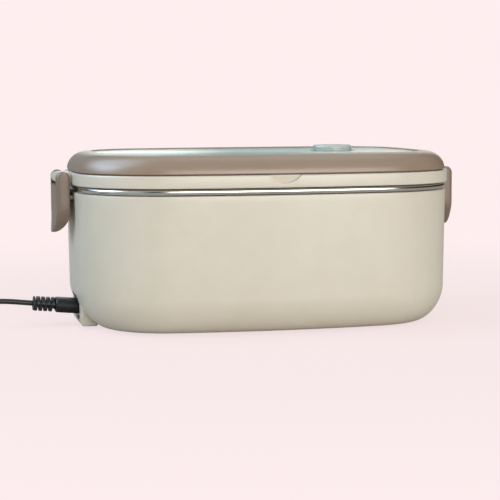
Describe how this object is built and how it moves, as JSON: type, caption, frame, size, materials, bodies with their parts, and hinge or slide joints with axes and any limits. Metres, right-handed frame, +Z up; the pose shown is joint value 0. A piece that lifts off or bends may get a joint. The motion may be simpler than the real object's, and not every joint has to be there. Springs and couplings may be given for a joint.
{
  "type": "electric lunch box",
  "caption": "Rounded cream electric lunch box with a lift-out steel container, a clipped-on lid with a hinged cover and window, a steam vent, side clips and a plug-in mains lead.",
  "frame": {"origin": "on the table, below the centre of the box's plan outline (the mains lead is left out of account)", "axes": "+X to the right along the long side, seen from the front; +Y to the back, where the cover's hinge is; +Z up"},
  "size_m": [0.3946, 0.1721, 0.1055],
  "materials": {
    "cream_shell": "satin moulded, cream",
    "cream_lid": "satin moulded, cream",
    "taupe_cover": "satin moulded, taupe",
    "taupe_clip": "satin moulded, taupe",
    "window_plastic": "clear, slightly clouded",
    "container_steel": "polished rim, brushed inside",
    "tub_plastic": "moulded, heat resistant",
    "base_plastic": "fine moulded texture",
    "vent_plastic": "smooth",
    "seal_silicone": "soft, matte",
    "foot_rubber": "matte",
    "lead_rubber": "satin",
    "black_plastic": "satin moulded",
    "tie_plastic": "matte",
    "plate_aluminium": "rolled",
    "heater_ceramic": "ceramic, stood in for by plastic",
    "insulation": "pressed fibre",
    "phenolic": "moulded",
    "fuse_sleeve": "woven glass sleeve",
    "brown_wire": "smooth",
    "blue_wire": "smooth",
    "spring_steel": "rolled",
    "zinc_steel": "zinc plated",
    "pin_steel": "ground",
    "pin_brass": "nickelled brass",
    "blade_brass": "bright"
  },
  "bodies": {
    "base": {"body_shell": "cream_shell", "inner_tub": "tub_plastic", "heating_plate": "plate_aluminium", "heater_blocks": "heater_ceramic", "heater_clamp": "spring_steel", "clamp_screws": "zinc_steel", "thermostat": "phenolic", "thermal_fuse": "fuse_sleeve", "live_wires": "brown_wire", "neutral_wires": "blue_wire", "insulation_pad": "insulation", "base_cover": "base_plastic", "base_screws": "zinc_steel", "rubber_feet": "foot_rubber", "inlet_socket": "black_plastic", "inlet_pins": "pin_brass"},
    "container": {"food_container": "container_steel"},
    "lid": {"lid_frame": "cream_lid", "lid_seal": "seal_silicone", "cover_hinge_pin": "pin_steel"},
    "top_cover": {"hinged_cover": "taupe_cover", "cover_window": "window_plastic"},
    "vent": {"vent_cap": "vent_plastic"},
    "left_latch": {"left_clip": "taupe_clip", "left_clip_pin": "pin_steel"},
    "right_latch": {"right_clip": "taupe_clip", "right_clip_pin": "pin_steel"},
    "power_lead": {"lead_connector": "black_plastic", "strain_relief": "lead_rubber", "lead_cord": "lead_rubber", "lead_coil": "lead_rubber", "lead_tail": "lead_rubber", "coil_tie": "tie_plastic", "mains_plug": "black_plastic", "plug_blades": "blade_brass"}
  },
  "joints": [
    {"name": "container_lift", "type": "slide", "parent": "base", "child": "container", "axis": [0, 0, 1], "range_m": [0, 0.084]},
    {"name": "lid_lift", "type": "slide", "parent": "container", "child": "lid", "axis": [0, 0, 1], "range_m": [0, 0.072]},
    {"name": "left_clip_hinge", "type": "hinge", "parent": "lid", "child": "left_latch", "pos_m": [-0.1184, 0, 0.088], "axis": [0, 1, 0], "range_deg": [0, 110]},
    {"name": "right_clip_hinge", "type": "hinge", "parent": "lid", "child": "right_latch", "pos_m": [0.1184, 0, 0.088], "axis": [0, -1, 0], "range_deg": [0, 110]},
    {"name": "cover_hinge", "type": "hinge", "parent": "lid", "child": "top_cover", "pos_m": [0, 0.085, 0.0923], "axis": [-1, 0, 0], "range_deg": [0, 100]},
    {"name": "vent_lift", "type": "slide", "parent": "lid", "child": "vent", "axis": [0, 0, 1], "range_m": [0, 0.008]},
    {"name": "lead_slide", "type": "slide", "parent": "base", "child": "power_lead", "axis": [-0.9962, 0, 0.0872], "range_m": [0, 0.024]}
  ]
}
